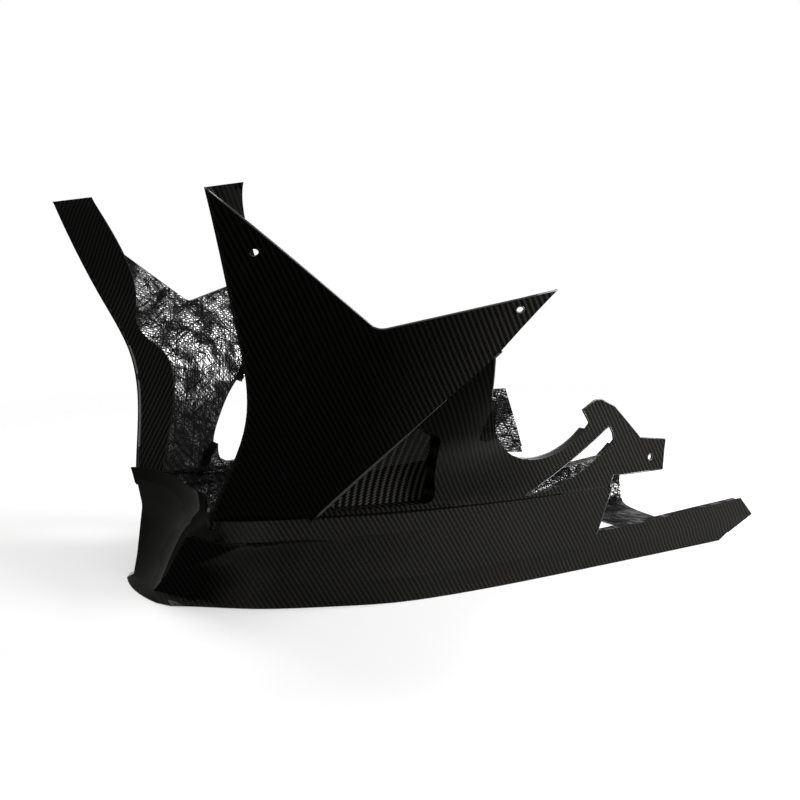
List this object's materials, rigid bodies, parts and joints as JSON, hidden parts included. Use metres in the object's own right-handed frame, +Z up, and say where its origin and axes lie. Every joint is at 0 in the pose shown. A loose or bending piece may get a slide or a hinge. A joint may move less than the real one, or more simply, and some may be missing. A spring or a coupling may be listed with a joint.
{
  "type": "motorcycle belly pan",
  "caption": "Moulded laminate lower fairing for a motorcycle: shallow tub with a concave nose, flared side wings on folded arms, rear brackets and slim tails.",
  "frame": {"origin": "middle of the bounding box, on the underside of the floor", "axes": "+X rearward along the pan, +Y to the right side of the machine, +Z up"},
  "size_m": [0.5571, 0.5016, 0.3074],
  "materials": {
    "laminate": "clear coat over twill cloth"
  },
  "bodies": {
    "root": {"belly_pan": "laminate"}
  },
  "joints": []
}
